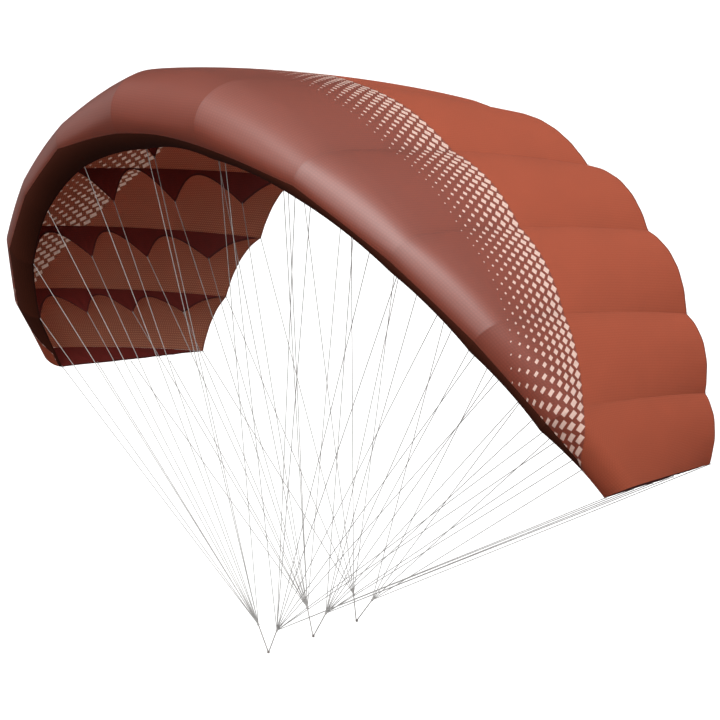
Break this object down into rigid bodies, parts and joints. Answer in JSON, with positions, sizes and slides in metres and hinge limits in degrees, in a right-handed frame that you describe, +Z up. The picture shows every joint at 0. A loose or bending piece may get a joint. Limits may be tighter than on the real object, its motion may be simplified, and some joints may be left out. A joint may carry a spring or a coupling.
{
  "type": "parawing",
  "caption": "Single-skin parawing in flying shape: billowed cloth cells on scalloped ribs, with fans of taut suspension lines gathered into V bridles.",
  "frame": {"origin": "centre of the flat foot of the knot that ends the middle bridle, under the middle of the wing", "axes": "+X along the span, -Y out of the nose, +Z up through the canopy"},
  "size_m": [2.5812, 1.4441, 1.9122],
  "materials": {
    "nose_cloth": "satin",
    "top_cloth": "satin",
    "rib_cloth": "matte",
    "line_cord": "matte"
  },
  "bodies": {
    "root": {"nose_panel_01": "nose_cloth", "nose_panel_02": "nose_cloth", "nose_panel_03": "nose_cloth", "nose_panel_04": "nose_cloth", "nose_panel_05": "nose_cloth", "nose_panel_06": "nose_cloth", "nose_panel_07": "nose_cloth", "nose_panel_08": "nose_cloth", "nose_panel_09": "nose_cloth", "nose_panel_10": "nose_cloth", "nose_panel_11": "nose_cloth", "top_panel_01": "top_cloth", "top_panel_02": "top_cloth", "top_panel_03": "top_cloth", "top_panel_04": "top_cloth", "top_panel_05": "top_cloth", "top_panel_06": "top_cloth", "top_panel_07": "top_cloth", "top_panel_08": "top_cloth", "top_panel_09": "top_cloth", "top_panel_10": "top_cloth", "top_panel_11": "top_cloth", "rib_01": "rib_cloth", "rib_02": "rib_cloth", "rib_03": "rib_cloth", "rib_04": "rib_cloth", "rib_05": "rib_cloth", "rib_06": "rib_cloth", "rib_07": "rib_cloth", "rib_08": "rib_cloth", "rib_09": "rib_cloth", "rib_10": "rib_cloth", "rib_11": "rib_cloth", "rib_12": "rib_cloth", "front_lines_left": "line_cord", "front_lines_right": "line_cord", "middle_lines_left": "line_cord", "middle_lines_right": "line_cord", "rear_lines_left": "line_cord", "rear_lines_right": "line_cord", "front_bridle": "line_cord", "middle_bridle": "line_cord", "rear_bridle": "line_cord"}
  },
  "joints": []
}
